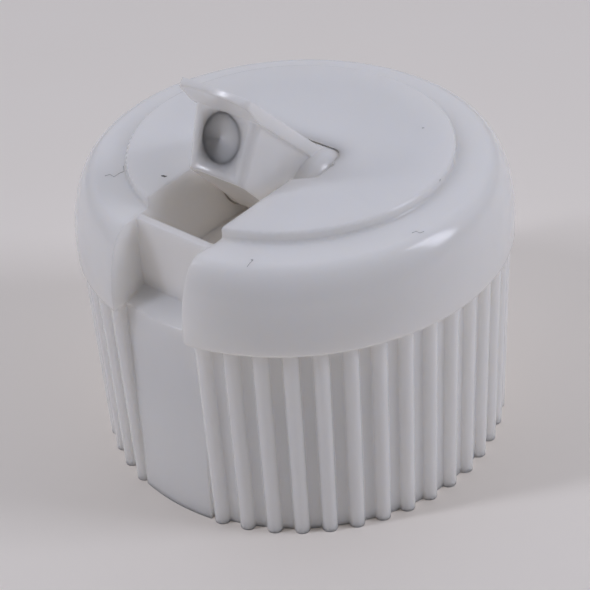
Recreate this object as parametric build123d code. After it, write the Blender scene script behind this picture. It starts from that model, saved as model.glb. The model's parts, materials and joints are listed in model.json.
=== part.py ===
# Screw-on bottle closure with a spout that flips up out of its top.
# Two moulded pieces: the ribbed cap body and the spout, which turns in a socket in the body.
# Origin: centre of the skirt's open end. +Z is up, the spout and the finger notch point along -Y.
# Lengths are in millimetres. The spout is shown raised, as it rests.
import os
from math import atan2, cos, degrees, isclose, radians, sin

from build123d import *

# Whole cap
cap_radius = 16.0
cap_height = 23.2

# Top: a round plateau, one small step up from the ring round it, and a rounded shoulder
plateau_radius = 11.65
plateau_step = 0.8
plateau_edge_round = 0.22
shoulder_width = 4.0
shoulder_drop = 3.4

# Smooth band and ribbed skirt
band_bottom = 16.4
groove_radius = 15.15
rib_height = 0.55
rib_round = 0.58
rib_positions = 48
panel_radius = 15.45

# Space inside for the bottle neck
neck_bore_radius = 13.9
neck_bore_depth = 12.6
lip_space_radius = 13.5
top_wall = 1.4
plug_radius = 10.5
plug_wall = 0.9
plug_bottom = 13.3
stop_rib_count = 12
stop_rib_wall = 1.0
stop_rib_bottom = 15.8
rib_root = 0.3

# Pocket in the top that the spout folds into, and the finger notch beyond it
slot_width = 6.6
pocket_end = 11.9
pocket_depth = 5.9
web_top = 0.62
web_drop = 0.1
web_foot = 1.3
notch_width = 6.4
notch_floor = 17.05
trough_wall = 1.1

# Pivot of the spout
pivot_forward = 0.8
pivot_depth = 2.6
drum_radius = 3.0
drum_length = 8.8
drum_round = 1.3
drum_clearance = 0.1
drum_end_clearance = 0.2
socket_mouth_chamfer = 1.2
trunnion_radius = 0.9
trunnion_length = 0.6
trunnion_clearance = 0.08
outlet_diameter = 2.4

# Spout, with its lengths measured from the pivot along the spout
spout_raise = 45.0
open_raise = 63.0
leaf_length = 11.95
leaf_width = 6.3
leaf_wall = 0.6
leaf_tip_crown = 0.5
leaf_corner_round = 0.5
face_top_reach = 9.5
face_bottom_reach = 7.9
face_bottom_depth = 4.9
block_width_at_face = 5.2
block_width_at_hub = 6.2
block_edge_round = 0.5
orifice_diameter = 3.1
channel_diameter = 2.2

# How far a cutting shape runs past what it cuts
overrun = 1.0

# Worked out from the sizes above
pivot_y = -pivot_forward
pivot_z = cap_height - pivot_depth
rib_pitch = 360 / rib_positions
rib_centre_radius = groove_radius + rib_height - rib_round
socket_radius = drum_radius + drum_clearance
socket_length = drum_length + 2 * drum_end_clearance
ring_level = cap_height - plateau_step
pocket_floor = cap_height - pocket_depth
web_outer = pocket_end + web_top
ledge_level = ring_level - web_drop


def box_between(low, high):
    size = [b - a for a, b in zip(low, high)]
    middle = [(a + b) / 2 for a, b in zip(low, high)]
    return Pos(*middle) * Box(*size)


def rod_across(radius, length):
    """A rod along X, centred on the origin."""
    return Rot(0, 90, 0) * Cylinder(radius, length)


def crown():
    """The band, the rounded shoulder and the stepped top, turned about the cap's axis."""
    shoulder_start = cap_radius - shoulder_width
    shoulder = EllipticalCenterArc(
        (shoulder_start, ring_level - shoulder_drop), shoulder_width, shoulder_drop, 0, arc_size=90
    )
    outline = shoulder + Polyline(
        (shoulder_start, ring_level),
        (plateau_radius, ring_level),
        (plateau_radius, cap_height),
        (0, cap_height),
        (0, band_bottom),
        (cap_radius, band_bottom),
        (cap_radius, ring_level - shoulder_drop),
    )
    solid = revolve(Plane.XZ * make_face(outline), Axis.Z)
    circles = solid.edges().filter_by(GeomType.CIRCLE)
    step_edges = circles.filter_by(lambda edge: isclose(edge.radius, plateau_radius))
    return fillet(step_edges, plateau_edge_round)


def skirt():
    """Round ribs on the skirt, left out across the smooth panel below the notch."""
    wall = Circle(groove_radius)
    panel_half_angle = degrees(atan2(notch_width / 2, panel_radius))
    for position in range(rib_positions):
        from_notch = position * rib_pitch
        turned = min(from_notch, 360 - from_notch)
        if turned < panel_half_angle:
            continue
        angle = radians(-90 + from_notch)
        wall += Pos(rib_centre_radius * cos(angle), rib_centre_radius * sin(angle)) * Circle(rib_round)
    panel = Circle(panel_radius) & Pos(0, -panel_radius) * Rectangle(notch_width, panel_radius)
    return extrude(wall + panel, band_bottom)


def neck_space():
    """The hollow for the bottle neck, up to the underside of the top wall."""
    roof_edge = lip_space_radius - shoulder_width / 2
    roof = cap_height - top_wall
    ring_roof = ring_level - top_wall
    outline = Polyline(
        (0, 0),
        (neck_bore_radius, 0),
        (neck_bore_radius, neck_bore_depth),
        (lip_space_radius, neck_bore_depth),
        (lip_space_radius, ring_roof - shoulder_drop / 2),
        (roof_edge, ring_roof),
        (plug_radius, ring_roof),
        (plug_radius, roof),
        (0, roof),
        (0, 0),
    )
    return revolve(Plane.XZ * make_face(outline), Axis.Z)


def plug_and_stops():
    """The plug seal that enters the neck, and the ribs that its lip stops against."""
    roof = cap_height - top_wall / 2
    plug = Pos(0, 0, plug_bottom) * extrude(
        Circle(plug_radius) - Circle(plug_radius - plug_wall), roof - plug_bottom
    )
    stops = box_between(
        (plug_radius - plug_wall / 2, -stop_rib_wall / 2, stop_rib_bottom),
        (lip_space_radius + rib_root, stop_rib_wall / 2, ring_level - top_wall / 2),
    )
    space = neck_space()
    ribs = [Rot(0, 0, (k + 0.5) * 360 / stop_rib_count) * stops for k in range(stop_rib_count)]
    return plug + [rib & space for rib in ribs]


def drum(radius, length, end_round):
    """A round-ended drum along X, centred on the pivot."""
    solid = rod_across(radius, length)
    solid = fillet(solid.edges(), end_round)
    return Pos(0, pivot_y, pivot_z) * solid


def socket():
    """The drum's seat, open to the front so that the drum can be pressed in from above."""
    seat = drum(socket_radius, socket_length, drum_round)
    mouth = box_between(
        (-socket_length / 2, pivot_y - socket_radius, pivot_z),
        (socket_length / 2, pivot_y, cap_height),
    )
    front = mouth.edges().filter_by(Axis.Z).group_by(Axis.Y)[0]
    mouth = chamfer(front, socket_mouth_chamfer)
    bearing = trunnion_radius + trunnion_clearance
    bearing_length = socket_length + 2 * (trunnion_length + drum_end_clearance / 2)
    holes = Pos(0, pivot_y, pivot_z) * rod_across(bearing, bearing_length)
    return seat + mouth + holes


def pocket():
    """The straight slot from the socket to the web."""
    return box_between(
        (-slot_width / 2, -pocket_end, pocket_floor),
        (slot_width / 2, pivot_y, cap_height),
    )


def web_recess():
    """The web's top lies a little under the ring, so the leaf clears it when it folds down."""
    return box_between(
        (-slot_width / 2, -web_outer, ledge_level),
        (slot_width / 2, -pocket_end, cap_height),
    )


def notch():
    """The finger notch: its inner face leans out from the web's top to the notch floor."""
    outside = cap_radius + overrun
    profile = Polyline(
        (web_outer, cap_height),
        (web_outer, ledge_level),
        (pocket_end + web_foot, notch_floor),
        (outside, notch_floor),
        (outside, cap_height),
        (web_outer, cap_height),
    )
    side = Plane(origin=(0, 0, 0), x_dir=(0, -1, 0), z_dir=(-1, 0, 0))
    cut = extrude(side * make_face(profile), notch_width / 2, both=True)
    band_below = box_between(
        (-notch_width / 2, -outside, band_bottom - overrun),
        (notch_width / 2, -panel_radius + overrun, notch_floor),
    )
    return cut + (band_below - Cylinder(panel_radius, 2 * cap_height))


def under_skin():
    """The room for inner walls: all that lies below the middle of the outer skin."""
    from_base = (Align.CENTER, Align.CENTER, Align.MIN)
    core = Cylinder(cap_radius - trough_wall, cap_height, align=from_base)
    below_band = Cylinder(cap_radius - trough_wall, band_bottom, align=from_base)
    return (Pos(0, 0, -top_wall / 2) * crown() & core) + below_band


def trough_shell():
    """Walls under the top that enclose the pocket, the notch and the socket."""
    roof = cap_height - top_wall / 2
    half = slot_width / 2 + trough_wall
    pocket_box = box_between(
        (-half, -pocket_end - web_foot - trough_wall, pocket_floor - trough_wall),
        (half, pivot_y, roof),
    )
    notch_box = box_between(
        (-half, -cap_radius, notch_floor - trough_wall),
        (half, -pocket_end, roof),
    )
    cup_radius = socket_radius + trough_wall
    cup_half = socket_length / 2 + trunnion_length + trough_wall
    cup = Pos(0, pivot_y, pivot_z) * rod_across(cup_radius, 2 * cup_half)
    cup += box_between(
        (-cup_half, pivot_y - cup_radius, pivot_z),
        (cup_half, pivot_y + cup_radius, roof),
    )
    return (pocket_box + notch_box + cup) & under_skin()


def cap_body():
    shell = crown() + skirt() - neck_space()
    shell += plug_and_stops()
    shell += trough_shell()
    outlet_y = pivot_y + socket_radius * cos(radians(open_raise))
    outlet = Pos(0, outlet_y, pivot_z - socket_radius) * Cylinder(outlet_diameter / 2, 4 * trough_wall)
    cuts = pocket() + web_recess() + notch() + socket() + outlet
    return shell - cuts


def leaf():
    """The thin top leaf, whose slightly bowed tip overhangs the end face as a finger tab."""
    half = leaf_width / 2
    side_tip = leaf_length - leaf_tip_crown
    outline = Polyline((0, half), (side_tip, half)) + ThreePointArc(
        (side_tip, half), (leaf_length, 0), (side_tip, -half)
    )
    outline += Polyline((side_tip, -half), (0, -half), (0, half))
    plate = extrude(make_face(outline), -leaf_wall)
    tips = plate.edges().filter_by(Axis.Z).group_by(Axis.X)[-1]
    return Pos(0, 0, pivot_depth) * fillet(tips, leaf_corner_round)


def block():
    """The tapered block under the leaf, from the drum to the leaning end face."""
    side = Polyline(
        (0, pivot_depth),
        (face_top_reach, pivot_depth),
        (face_bottom_reach, pivot_depth - face_bottom_depth),
        (0, -drum_radius),
        (0, pivot_depth),
    )
    wedge = extrude(Plane.XZ * make_face(side), block_width_at_hub, both=True)
    plan = Polyline(
        (0, block_width_at_hub / 2),
        (face_top_reach, block_width_at_face / 2),
        (face_top_reach, -block_width_at_face / 2),
        (0, -block_width_at_hub / 2),
        (0, block_width_at_hub / 2),
    )
    taper = Pos(0, 0, -drum_radius) * extrude(make_face(plan), drum_radius + pivot_depth)
    solid = wedge & taper
    end_face = solid.faces().sort_by(Axis.X)[-1]
    uprights = end_face.edges().filter_by(
        lambda edge: abs(edge.tangent_at(0.5).Z) > abs(edge.tangent_at(0.5).Y)
    )
    return fillet(uprights, block_edge_round)


def channel():
    """The way through: a straight bore from behind the drum, widening to the orifice."""
    back = rod_across(channel_diameter / 2, 2 * socket_radius)
    cone = Pos(leaf_length / 2, 0, 0) * Rot(0, 90, 0) * Cone(
        channel_diameter / 2, orifice_diameter / 2, leaf_length
    )
    return back + cone


def spout():
    """Modelled lying flat with its length along X from the pivot, then turned up and into place."""
    body = leaf() + block()
    barrel = fillet(rod_across(drum_radius, drum_length).edges(), drum_round)
    pins = rod_across(trunnion_radius, drum_length + 2 * trunnion_length)
    body += Rot(0, 0, 90) * (barrel + pins)
    body -= channel()
    raised = Rot(0, -spout_raise, 0) * body
    return Pos(0, pivot_y, pivot_z) * Rot(0, 0, -90) * raised


os.makedirs("parts", exist_ok=True)
export_step(cap_body(), "parts/cap_body.step")
export_step(spout(), "parts/spout.step")
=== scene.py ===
# Looks of a flip top bottle cap: translucent white moulded plastic, its outer forms as the
# photograph shows them, the neck thread, a few specks of dust, and a soft studio.
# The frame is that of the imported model: +Z up, the finger notch towards -Y.
# Lengths of the object's forms are given in millimetres.
import json
from math import cos, pi, radians, sin, sqrt, tau

import bmesh
import bpy
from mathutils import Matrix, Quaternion, Vector


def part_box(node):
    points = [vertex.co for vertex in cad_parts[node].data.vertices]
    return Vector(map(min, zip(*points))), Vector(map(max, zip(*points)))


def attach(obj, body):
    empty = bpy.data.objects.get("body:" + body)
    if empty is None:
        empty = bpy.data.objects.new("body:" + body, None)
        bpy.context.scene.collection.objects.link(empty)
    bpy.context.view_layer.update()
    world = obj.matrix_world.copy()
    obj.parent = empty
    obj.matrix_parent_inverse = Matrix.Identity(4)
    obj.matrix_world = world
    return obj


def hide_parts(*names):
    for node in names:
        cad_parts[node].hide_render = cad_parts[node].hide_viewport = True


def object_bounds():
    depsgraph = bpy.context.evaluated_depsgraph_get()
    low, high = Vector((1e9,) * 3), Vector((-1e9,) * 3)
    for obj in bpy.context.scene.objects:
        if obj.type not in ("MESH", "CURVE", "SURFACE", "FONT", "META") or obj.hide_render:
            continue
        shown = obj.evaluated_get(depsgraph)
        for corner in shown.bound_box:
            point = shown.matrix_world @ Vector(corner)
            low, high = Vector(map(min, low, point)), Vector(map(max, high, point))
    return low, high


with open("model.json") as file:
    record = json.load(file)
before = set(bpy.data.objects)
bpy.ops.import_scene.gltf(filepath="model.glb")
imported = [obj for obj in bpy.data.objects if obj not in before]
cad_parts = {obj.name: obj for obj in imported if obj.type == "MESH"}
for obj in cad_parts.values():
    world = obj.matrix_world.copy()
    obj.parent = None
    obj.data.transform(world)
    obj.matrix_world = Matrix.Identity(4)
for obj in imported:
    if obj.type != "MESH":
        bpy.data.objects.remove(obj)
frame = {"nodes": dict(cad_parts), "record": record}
cad_low, cad_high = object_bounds()

MM = 0.001
merge_distance = 0.0001 * MM
ring_steps = 144
sharp_angle = radians(28)
shave = 0.01

# Cap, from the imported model
cap_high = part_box("cap_body")[1]
cap_radius = min(cap_high.x, cap_high.y) / MM
cap_top = cap_high.z / MM
plateau_step = 0.8
ledge_step = 0.1
ring_level = cap_top - plateau_step
ledge_level = ring_level - ledge_step
band_bottom = 16.4

# How far the cutters reach past the cap
reach_above = 1.0
reach_outside = 1.5
below_cap = -1.0
above_cap = cap_top + reach_above
outside_cap = cap_radius + reach_outside

# Shoulder: a flat ring, then one long elliptical round down to the band's foot
ring_start = 11.9
shoulder_width = 2.2
shoulder_drop = 5.6
shoulder_steps = 22
cut_back = 0.2
skin_wall = 0.5

# Finger notch and the web between it and the pocket
notch_half = 3.2
slot_half = 3.3
slot_overlap = 1.0
pocket_end = 11.9
web_outer = 12.52
web_foot = 12.65
notch_floor_back = 16.95
notch_floor_front = 16.38

# Smooth panel below the notch, leaning in towards its top
panel_half = 3.45
panel_radius = 15.45
panel_top_radius = 14.7
panel_steps = 14

# Spout, along from the pivot (u) and up from it (w), as it lies folded
hinge = frame["record"]["behaviour"]["joints"][0]
pivot_y = hinge["pos_m"][1] / MM
pivot_z = hinge["pos_m"][2] / MM
spout_raise = radians(-hinge["range_deg"][0])
leaf_top = 2.6
leaf_half = 3.0
leaf_root_wall = 0.95
leaf_tip_wall = 0.48
leaf_length = 11.93
leaf_crown = 0.33
leaf_crown_steps = 8
leaf_corner = 0.5
leaf_corner_steps = 6
face_top = 9.42
face_bottom = 7.7
face_bottom_level = -2.45
face_top_half = 2.85
face_bottom_half = 2.48
hub_top_half = 2.98
hub_bottom_half = 2.6
block_round = 0.5
block_round_steps = 5
drum_radius = 3.0
drum_half = 4.4
drum_round = 1.3
drum_round_steps = 8
trunnion_radius = 0.9
trunnion_end = 5.0
channel_radius = 1.1
channel_overrun = 1.0
orifice_radius = 1.58

# Neck thread: one ridge on the bore's wall, for a 28 mm neck finish
bore_radius = 13.9
thread_crest_radius = 12.8
thread_pitch = 4.2
thread_turns = 1.5
thread_start_height = 3.0
thread_root_width = 2.2
thread_crest_width = 0.9
thread_sink = 0.08
thread_run_out = radians(25)
thread_least_rise = 0.02
thread_steps = 180
thread_round = 0.18
thread_round_steps = 3
thread_round_angle = radians(30)

# Camera, solved from the rims, the ribs and the band in the photograph
camera_azimuth = 40.9
camera_elevation = 30.05
camera_distance = 103.3 * MM
camera_yaw = -0.2
camera_pitch = -6.06
camera_roll = -3.75
camera_clip_start = 0.005
focal_length_px = 1453.0
photo_width_px = 590.0
sensor_width_mm = 36.0

# Dust on the skin, by the pixels where the photograph shows it
dark_speck_pixels = ((163, 176), (165, 176.5))
faint_speck_pixels = ((252, 260), (423, 128), (440, 180))
fibre_pixels = (
    ((105, 176), (110, 174.5), (114, 177), (119, 173.5), (124, 171.5), (123.5, 166)),
    ((412, 233), (416, 231.5), (420, 233), (424, 231.5)),
    ((247, 267), (250, 263), (253, 260.5)),
)
dark_speck_radius = 0.1
faint_speck_radius = 0.07

# A speck's layers: how high each lies and how wide it is, in shares of the speck's radius
speck_layers = ((-0.3, 0.7), (0.1, 1.0), (0.45, 0.55))
speck_corners = 7
speck_unevenness = 0.3
speck_length = 1.3
speck_breadth = 0.8
fibre_radius = 0.018
fibre_lift = 0.6
fibre_corners = 6

# Lamps: directions from the cap towards each lamp, sizes and distance in metres
left_lamp_direction = Vector((-0.451, -0.606, 0.656))
right_lamp_direction = Vector((0.679, 0.405, 0.47))
lamp_distance = 0.6
left_lamp_size = (0.05, 0.28)
right_lamp_size = (0.16, 0.3)
left_lamp_power = 0.75
right_lamp_power = 0.95
lamp_colour = (0.86, 0.88, 1.0)

# Room: its light at the horizon and overhead, and the side with no lamp and no window
horizon_light = (0.14, 0.118, 0.094)
overhead_light = (0.58, 0.585, 0.65)
overhead_from = 0.85
dark_side = (0.65, -0.75, 0.1)
dark_side_full = 0.8
dark_side_strength = 0.08
floor_reach = 1.5

# White plastic passes light on from wall to wall many times, in the pocket above all
light_bounces = 24
diffuse_bounces = 20


def node_maker(tree):
    """Empties a node tree and gives a maker of nodes, with properties and sockets by name."""
    tree.nodes.clear()

    def node(kind, **values):
        made = tree.nodes.new(kind)
        for key, value in values.items():
            if hasattr(made, key):
                setattr(made, key, value)
            else:
                made.inputs[key.replace("_", " ")].default_value = value
        return made

    return node


def new_material(name):
    """A node material, its links and a maker of nodes, and its output."""
    material = bpy.data.materials.new(name)
    material.use_nodes = True
    node = node_maker(material.node_tree)
    return material, material.node_tree.links.new, node, node("ShaderNodeOutputMaterial")


def blend(node, link, factor, first, second):
    """The colour between two that a factor gives."""
    tint = node("ShaderNodeMix", data_type="RGBA", A=(*first, 1), B=(*second, 1))
    link(factor, tint.inputs["Factor"])
    return tint.outputs["Result"]


def moulded_plastic(name, base, shade, depth, roughness):
    """White polypropylene: light passes into it, its gloss is soft and faintly uneven."""
    material, link, node, output = new_material(name)
    place = node("ShaderNodeTexCoord").outputs["Object"]

    cloud = node("ShaderNodeTexNoise", Scale=120.0, Detail=2.0, Roughness=0.5)
    link(place, cloud.inputs["Vector"])
    spread = node("ShaderNodeMapRange", From_Min=0.3, From_Max=0.65)
    link(cloud.outputs["Fac"], spread.inputs["Value"])
    tint = blend(node, link, spread.outputs["Result"], shade, base)

    smear = node("ShaderNodeTexNoise", Scale=260.0, Detail=3.0, Roughness=0.55)
    link(place, smear.inputs["Vector"])
    gloss = node("ShaderNodeMapRange", From_Min=0.3, From_Max=0.7)
    gloss.inputs["To Min"].default_value = roughness - 0.02
    gloss.inputs["To Max"].default_value = roughness + 0.04
    link(smear.outputs["Fac"], gloss.inputs["Value"])

    soft_edge = node("ShaderNodeBevel", samples=6, Radius=0.2 * MM)
    ripple = node("ShaderNodeTexNoise", Scale=700.0, Detail=2.0, Roughness=0.5)
    link(place, ripple.inputs["Vector"])
    peel = node("ShaderNodeBump", Strength=0.06, Distance=0.02 * MM)
    link(ripple.outputs["Fac"], peel.inputs["Height"])
    link(soft_edge.outputs["Normal"], peel.inputs["Normal"])

    plastic = node("ShaderNodeBsdfPrincipled", IOR=1.49)
    plastic.inputs["Subsurface Weight"].default_value = 1.0
    plastic.inputs["Subsurface Radius"].default_value = (1.0, 0.95, 0.88)
    plastic.inputs["Subsurface Scale"].default_value = depth
    link(tint, plastic.inputs["Base Color"])
    link(gloss.outputs["Result"], plastic.inputs["Roughness"])
    link(peel.outputs["Normal"], plastic.inputs["Normal"])
    link(plastic.outputs["BSDF"], output.inputs["Surface"])
    return material


def grained(name, dark, light, grain_scale):
    """A dull material with a fine grain between two colours."""
    material, link, node, output = new_material(name)
    grain = node("ShaderNodeTexNoise", Scale=grain_scale, Detail=2.0)
    link(node("ShaderNodeTexCoord").outputs["Object"], grain.inputs["Vector"])
    surface = node("ShaderNodeBsdfPrincipled", Roughness=0.9)
    link(blend(node, link, grain.outputs["Fac"], dark, light), surface.inputs["Base Color"])
    link(surface.outputs["BSDF"], output.inputs["Surface"])
    return material


def piece_from(name, form):
    """An object in the scene from a bmesh, its doubles merged and its faces turned outwards."""
    bmesh.ops.remove_doubles(form, verts=form.verts, dist=merge_distance)
    bare_edges = [edge for edge in form.edges if not edge.link_faces]
    bmesh.ops.delete(form, geom=bare_edges, context="EDGES")
    bmesh.ops.recalc_face_normals(form, faces=form.faces)
    mesh = bpy.data.meshes.new(name)
    form.to_mesh(mesh)
    form.free()
    piece = bpy.data.objects.new(name, mesh)
    bpy.context.scene.collection.objects.link(piece)
    return piece


def lofted(name, sections, closed=False):
    """A closed solid through sections that have as many corners each, in millimetres."""
    form = bmesh.new()
    rings = [[form.verts.new(Vector(point) * MM) for point in section] for section in sections]
    corners = len(rings[0])
    pairs = list(zip(rings, rings[1:]))
    if closed:
        pairs.append((rings[-1], rings[0]))
    else:
        form.faces.new(rings[0])
        form.faces.new(rings[-1])
    for near, far in pairs:
        for corner in range(corners):
            after = (corner + 1) % corners
            form.faces.new((near[corner], near[after], far[after], far[corner]))
    return piece_from(name, form)


def turned(name, profile, place):
    """A profile of (along, radius) turned about an axis, placed by (along, across, up)."""
    sections = []
    for step in range(ring_steps):
        angle = tau * step / ring_steps
        section = [place(along, r * cos(angle), r * sin(angle)) for along, r in profile]
        sections.append(section)
    return lofted(name, sections, closed=True)


def about_cap(along, across, up):
    """Places a turned form about the cap's upright axis."""
    return (across, up, along)


def along_spout(along, across, up):
    """Places a turned form about the channel's axis."""
    return spout_point(across, along, up)


def spout_point(x, u, w):
    """A point of the raised spout, from its place on the spout as it lies folded."""
    y = pivot_y - u * cos(spout_raise) + w * sin(spout_raise)
    z = pivot_z + u * sin(spout_raise) + w * cos(spout_raise)
    return (x, y, z)


def combined(base, tools, operation):
    """Joins the tools to the base, or cuts them from it, and deletes them."""
    for tool in tools:
        step = base.modifiers.new("combine", "BOOLEAN")
        step.operation = operation
        step.solver = "EXACT"
        step.object = tool
        graph = bpy.context.evaluated_depsgraph_get()
        result = bpy.data.meshes.new_from_object(base.evaluated_get(graph))
        base.modifiers.clear()
        base.data = result
        bpy.data.objects.remove(tool)
    return base


def dressed(piece, material, body, node=None):
    """Gives a form its material, its shading and its body, and hides the imported node that it
    stands for.
    """
    mesh = piece.data
    mesh.materials.clear()
    mesh.materials.append(material)
    mesh.polygons.foreach_set("material_index", [0] * len(mesh.polygons))
    mesh.polygons.foreach_set("use_smooth", [True] * len(mesh.polygons))
    mesh.set_sharp_from_angle(angle=sharp_angle)
    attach(piece, body)
    if node:
        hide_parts(node)


def shoulder_line(inset):
    """The round from the flat ring down to the band, moved in by the inset, as (z, radius)."""
    centre = cap_radius - shoulder_width
    foot = ring_level - shoulder_drop
    line = []
    for step in range(shoulder_steps + 1):
        angle = pi / 2 * (1 - step / shoulder_steps)
        radius = centre + (shoulder_width - inset) * cos(angle)
        line.append((foot + (shoulder_drop - inset) * sin(angle), radius))
    return line


def shoulder_skin():
    """The outer skin of the ring, the shoulder and the band."""
    outer = [(ring_level, ring_start), *shoulder_line(0), (band_bottom, cap_radius)]
    inner = [(band_bottom, cap_radius - skin_wall), *reversed(shoulder_line(skin_wall))]
    inner.append((ring_level - skin_wall, ring_start))
    return turned("shoulder", outer + inner, about_cap)


def shoulder_cutter():
    """What lies outside the shoulder's new skin, cut back a little way under it."""
    start = ring_start + cut_back / 4
    under = [(above_cap, start), (ring_level - cut_back, start), *shoulder_line(cut_back)]
    under += [
        (band_bottom - cut_back / 2, cap_radius - cut_back),
        (band_bottom - cut_back / 2, outside_cap),
        (above_cap, outside_cap),
    ]
    return turned("shoulder_cutter", under, about_cap)


def across_cutter(name, outline, half):
    """A prism along X from an outline of (distance towards the notch, height)."""
    near = [(-half, -reach, height) for reach, height in outline]
    far = [(half, -reach, height) for reach, height in outline]
    return lofted(name, [near, far])


def notch_cutter():
    """The finger notch: its inner face is almost upright, its floor falls to the panel."""
    outline = (
        (web_outer - shave, above_cap),
        (web_outer - shave, ledge_level - shave),
        (web_foot, notch_floor_back),
        (panel_top_radius, notch_floor_front),
        (outside_cap, notch_floor_front),
        (outside_cap, above_cap),
    )
    return across_cutter("notch_cutter", outline, notch_half + shave)


def slot_end_cutter():
    """Clears the new skin from the pocket's end and from above the web."""
    outline = (
        (pocket_end - slot_overlap, above_cap),
        (pocket_end - slot_overlap, ring_level - 2 * skin_wall),
        (pocket_end + shave, ring_level - 2 * skin_wall),
        (pocket_end + shave, ledge_level - shave),
        (web_outer + shave, ledge_level - shave),
        (web_outer + shave, above_cap),
    )
    return across_cutter("slot_end_cutter", outline, slot_half + shave)


def panel_cutter():
    """What lies outside the leaning panel, between the ribs beside it."""
    lean = (panel_radius - panel_top_radius) / band_bottom
    sections = []
    for step in range(panel_steps + 1):
        x = panel_half * (2 * step / panel_steps - 1)
        section = []
        for height in (below_cap, band_bottom + shave):
            radius = panel_radius - lean * height
            section.append((x, -sqrt(radius * radius - x * x), height))
        section.append((x, -outside_cap, band_bottom + shave))
        section.append((x, -outside_cap, below_cap))
        sections.append(section)
    return lofted("panel_cutter", sections)


def cap_moulding(node):
    """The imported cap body, with the shoulder, the notch and the panel in measured forms."""
    form = bmesh.new()
    source = node.data
    corners = [form.verts.new(vertex.co) for vertex in source.vertices]
    for polygon in source.polygons:
        form.faces.new([corners[index] for index in polygon.vertices])
    moulding = piece_from("cap_moulding", form)
    combined(moulding, [shoulder_cutter()], "DIFFERENCE")
    combined(moulding, [shoulder_skin()], "UNION")
    return combined(moulding, [slot_end_cutter(), notch_cutter(), panel_cutter()], "DIFFERENCE")


def leaf():
    """The top leaf. Past the end face it thins to its slightly bowed tip, the finger tab."""
    side_tip = leaf_length - leaf_crown
    straight = leaf_half - leaf_corner
    plan = [(0.0, leaf_half), (face_top, leaf_half)]
    for step in range(leaf_corner_steps + 1):
        angle = pi / 2 * step / leaf_corner_steps
        reach = side_tip - leaf_corner + leaf_corner * sin(angle)
        plan.append((reach, straight + leaf_corner * cos(angle)))
    for step in range(1, leaf_crown_steps + 1):
        half = straight * max(1 - step / leaf_crown_steps, shave)
        plan.append((side_tip + leaf_crown * (1 - (half / straight) ** 2), half))
    thinning = (leaf_root_wall - leaf_tip_wall) / (leaf_length - face_top)
    sections = []
    for u, half in plan:
        under = leaf_top - leaf_root_wall + thinning * max(0, u - face_top)
        corners = ((-half, leaf_top), (half, leaf_top), (half, under), (-half, under))
        sections.append([spout_point(x, u, w) for x, w in corners])
    return lofted("leaf", sections)


def middle_of(edge):
    """The middle of a bmesh edge."""
    return (edge.verts[0].co + edge.verts[1].co) / 2


def block():
    """The block under the leaf. Its sides lean in downwards and its end face leans back."""
    top = leaf_top - leaf_root_wall / 2
    rise = (top - face_bottom_level) / (leaf_top - leaf_root_wall - face_bottom_level)
    top_reach = face_bottom + (face_top - face_bottom) * rise
    near = [
        spout_point(-hub_top_half, 0, top),
        spout_point(hub_top_half, 0, top),
        spout_point(hub_bottom_half, 0, -drum_radius),
        spout_point(-hub_bottom_half, 0, -drum_radius),
    ]
    far = [
        spout_point(-face_top_half, top_reach, top),
        spout_point(face_top_half, top_reach, top),
        spout_point(face_bottom_half, face_bottom, face_bottom_level),
        spout_point(-face_bottom_half, face_bottom, face_bottom_level),
    ]
    solid = lofted("block", [near, far])
    form = bmesh.new()
    form.from_mesh(solid.data)
    ends = [Vector(point) * MM for point in far]
    uprights = []
    for upper, lower in ((ends[0], ends[3]), (ends[1], ends[2])):
        middle = (upper + lower) / 2
        uprights.append(min(form.edges, key=lambda edge: (middle_of(edge) - middle).length))
    bmesh.ops.bevel(
        form,
        geom=uprights,
        offset=block_round * MM,
        segments=block_round_steps,
        profile=0.5,
        affect="EDGES",
    )
    form.to_mesh(solid.data)
    form.free()
    return solid


def drum():
    """The round-ended drum with its two trunnions, along the hinge."""
    profile = [
        (-trunnion_end, 0.0),
        (-trunnion_end, trunnion_radius),
        (-drum_half, trunnion_radius),
    ]
    for step in range(drum_round_steps + 1):
        angle = pi / 2 * step / drum_round_steps
        along = -drum_half + drum_round * (1 - cos(angle))
        profile.append((along, drum_radius - drum_round * (1 - sin(angle))))
    profile += [(-along, radius) for along, radius in reversed(profile)]
    return turned("drum", profile, spout_point)


def channel():
    """The way through the spout, widening to the orifice."""
    reach = face_top + channel_overrun
    mouth = (face_top + face_bottom) / 2
    widening = (orifice_radius - channel_radius) / mouth
    end_radius = channel_radius + widening * reach
    back = -drum_radius - channel_overrun
    profile = [
        (back, 0.0),
        (back, channel_radius),
        (0.0, channel_radius),
        (reach, end_radius),
        (reach, 0.0),
    ]
    return turned("channel", profile, along_spout)


def spout_moulding():
    """The whole spout: drum, block and leaf in one, with the channel through it."""
    moulding = drum()
    moulding.name = "spout_moulding"
    combined(moulding, [block(), leaf()], "UNION")
    return combined(moulding, [channel()], "DIFFERENCE")


def neck_thread():
    """The screw ridge in the neck bore, right-handed, which fades out at both ends."""
    whole = thread_turns * tau
    root = bore_radius + thread_sink
    depth = bore_radius - thread_crest_radius
    sections = []
    for step in range(thread_steps + 1):
        angle = whole * step / thread_steps
        fade = min(1.0, angle / thread_run_out, (whole - angle) / thread_run_out)
        crest = bore_radius - depth * max(thread_least_rise, sin(fade * pi / 2))
        height = thread_start_height + thread_pitch * angle / tau
        outline = (
            (root, -thread_root_width / 2),
            (crest, -thread_crest_width / 2),
            (crest, thread_crest_width / 2),
            (root, thread_root_width / 2),
        )
        sections.append([(r * cos(angle), r * sin(angle), height + rise) for r, rise in outline])
    piece = lofted("neck_thread", sections)
    soften = piece.modifiers.new("soften", "BEVEL")
    soften.width = thread_round * MM
    soften.segments = thread_round_steps
    soften.limit_method = "ANGLE"
    soften.angle_limit = thread_round_angle
    return piece


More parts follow.
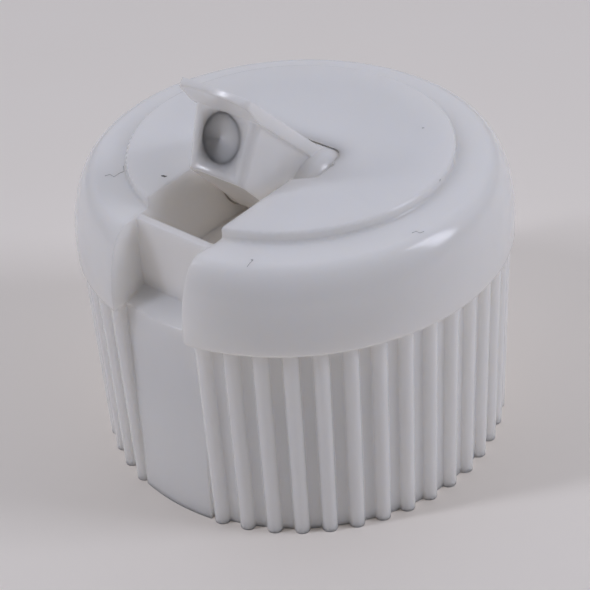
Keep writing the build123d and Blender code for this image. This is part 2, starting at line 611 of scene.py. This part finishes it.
def seen_at(eye, skin, pixel):
    """The point of the skin seen at a pixel, in millimetres, and the normal there."""
    middle = photo_width_px / 2
    ray = Vector((pixel[0] - middle, middle - pixel[1], -focal_length_px))
    direction = (eye.rotation_quaternion @ ray).normalized()
    point, normal = skin.ray_cast(eye.location, direction)[1:3]
    return point / MM, normal


def speck(name, eye, skin, pixel, size):
    """A crumb of dust, low and uneven, that lies on the skin."""
    centre, normal = seen_at(eye, skin, pixel)
    side = normal.orthogonal().normalized()
    other = normal.cross(side)
    sections = []
    for lift, share in speck_layers:
        ring = []
        for corner in range(speck_corners):
            angle = tau * corner / speck_corners
            reach = size * share * (1 + speck_unevenness * sin(3 * angle + pixel[0]))
            offset = side * (reach * speck_length * cos(angle))
            offset += other * (reach * speck_breadth * sin(angle))
            ring.append(centre + offset + normal * (size * lift))
        sections.append(ring)
    return lofted(name, sections)


def fibre(name, eye, skin, pixels):
    """A hair of lint that lies on the skin along the points where it is seen."""
    places = [seen_at(eye, skin, pixel) for pixel in pixels]
    sections = []
    for index, (point, normal) in enumerate(places):
        before = places[max(index - 1, 0)][0]
        after = places[min(index + 1, len(places) - 1)][0]
        side = normal.cross((after - before).normalized())
        ring = []
        for corner in range(fibre_corners):
            angle = tau * corner / fibre_corners
            offset = side * cos(angle) + normal * (sin(angle) + fibre_lift)
            ring.append(point + offset * fibre_radius)
        sections.append(ring)
    return lofted(name, sections)


def studio_floor():
    """A pale, faintly warm board under the cap, far wider than any view."""
    reach = floor_reach
    form = bmesh.new()
    corners = ((-reach, -reach, 0), (reach, -reach, 0), (reach, reach, 0), (-reach, reach, 0))
    form.faces.new([form.verts.new(corner) for corner in corners])
    board = piece_from("floor", form)
    material = grained("studio_board", (0.95, 0.9, 0.835), (0.965, 0.918, 0.86), 60.0)
    board.data.materials.append(material)
    board.location.z = cad_low.z


def lamp(name, direction, size, power, target):
    """A strip lamp that faces the cap, its long side upright."""
    data = bpy.data.lights.new(name, "AREA")
    data.shape = "RECTANGLE"
    data.size, data.size_y = size
    data.energy = power
    data.color = lamp_colour
    holder = bpy.data.objects.new(name, data)
    bpy.context.scene.collection.objects.link(holder)
    holder.location = target + direction.normalized() * lamp_distance
    holder.rotation_mode = "QUATERNION"
    holder.rotation_quaternion = (-direction).to_track_quat("-Z", "Y")


def surroundings():
    """Soft light: cool from above, warmer and weaker from the sides, least from the dark side."""
    world = bpy.data.worlds.new("surroundings")
    world.use_nodes = True
    node = node_maker(world.node_tree)
    link = world.node_tree.links.new
    way = node("ShaderNodeTexCoord").outputs["Generated"]

    parts = node("ShaderNodeSeparateXYZ")
    link(way, parts.inputs["Vector"])
    height = node("ShaderNodeMapRange", From_Min=0.0, From_Max=overhead_from)
    link(parts.outputs["Z"], height.inputs["Value"])
    tint = blend(node, link, height.outputs["Result"], horizon_light, overhead_light)

    facing = node("ShaderNodeVectorMath", operation="DOT_PRODUCT")
    facing.inputs[1].default_value = dark_side
    link(way, facing.inputs[0])
    shade = node("ShaderNodeMapRange", From_Min=0.0, From_Max=dark_side_full, To_Min=1.0)
    shade.inputs["To Max"].default_value = dark_side_strength
    link(facing.outputs["Value"], shade.inputs["Value"])

    soft = node("ShaderNodeBackground")
    link(tint, soft.inputs["Color"])
    link(shade.outputs["Result"], soft.inputs["Strength"])
    link(soft.outputs["Background"], node("ShaderNodeOutputWorld").inputs["Surface"])
    bpy.context.scene.world = world


def camera(target):
    """The photograph's camera: on its line to the top's centre, then turned in its own axes."""
    data = bpy.data.cameras.new("camera")
    data.sensor_width = sensor_width_mm
    data.lens = focal_length_px / photo_width_px * sensor_width_mm
    data.clip_start = camera_clip_start
    holder = bpy.data.objects.new("camera", data)
    bpy.context.scene.collection.objects.link(holder)
    azimuth = radians(camera_azimuth)
    level = cos(radians(camera_elevation))
    back = Vector((sin(azimuth) * level, -cos(azimuth) * level, sin(radians(camera_elevation))))
    aim = (-back).to_track_quat("-Z", "Y")
    yaw = Quaternion((0, 1, 0), -radians(camera_yaw))
    pitch = Quaternion((1, 0, 0), radians(camera_pitch))
    roll = Quaternion((0, 0, 1), radians(camera_roll))
    holder.location = target + back * camera_distance
    holder.rotation_mode = "QUATERNION"
    holder.rotation_quaternion = aim @ yaw @ pitch @ roll
    bpy.context.scene.camera = holder
    return holder


top_centre = Vector((0, 0, cap_high.z))
eye = camera(top_centre)

cap_base = (0.98, 0.957, 0.92)
cap_shade = (0.972, 0.947, 0.906)
spout_base = (0.992, 0.98, 0.96)
spout_shade = (0.99, 0.976, 0.953)
cap_plastic = moulded_plastic("cap_plastic", cap_base, cap_shade, 1.8 * MM, 0.14)
spout_plastic = moulded_plastic("spout_plastic", spout_base, spout_shade, 1.4 * MM, 0.16)
dust = grained("dust", (0.07, 0.065, 0.06), (0.2, 0.19, 0.175), 3000.0)
lint = grained("lint", (0.33, 0.32, 0.31), (0.5, 0.48, 0.46), 3000.0)

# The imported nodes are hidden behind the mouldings, and carry the same plastics
for name, plastic in (("cap_body", cap_plastic), ("spout", spout_plastic)):
    frame["nodes"][name].data.materials.clear()
    frame["nodes"][name].data.materials.append(plastic)

# The dust finds its places on the new skin, before the cap is dressed
cap = cap_moulding(frame["nodes"]["cap_body"])
crumbs = []
for number, pixel in enumerate(dark_speck_pixels, 1):
    crumbs.append(speck(f"dust_{number}", eye, cap, pixel, dark_speck_radius))
marks = []
for number, pixel in enumerate(faint_speck_pixels, 1):
    marks.append(speck(f"speck_{number}", eye, cap, pixel, faint_speck_radius))
for number, pixels in enumerate(fibre_pixels, 1):
    marks.append(fibre(f"fibre_{number}", eye, cap, pixels))

dressed(cap, cap_plastic, "cap", "cap_body")
dressed(spout_moulding(), spout_plastic, "spout", "spout")
dressed(neck_thread(), cap_plastic, "cap")
for crumb in crumbs:
    dressed(crumb, dust, "cap")
for mark in marks:
    dressed(mark, lint, "cap")

studio_floor()
surroundings()
lamp("left_lamp", left_lamp_direction, left_lamp_size, left_lamp_power, top_centre)
lamp("right_lamp", right_lamp_direction, right_lamp_size, right_lamp_power, top_centre)
bpy.context.scene.view_settings.view_transform = "Standard"
bpy.context.scene.cycles.max_bounces = light_bounces
bpy.context.scene.cycles.diffuse_bounces = diffuse_bounces
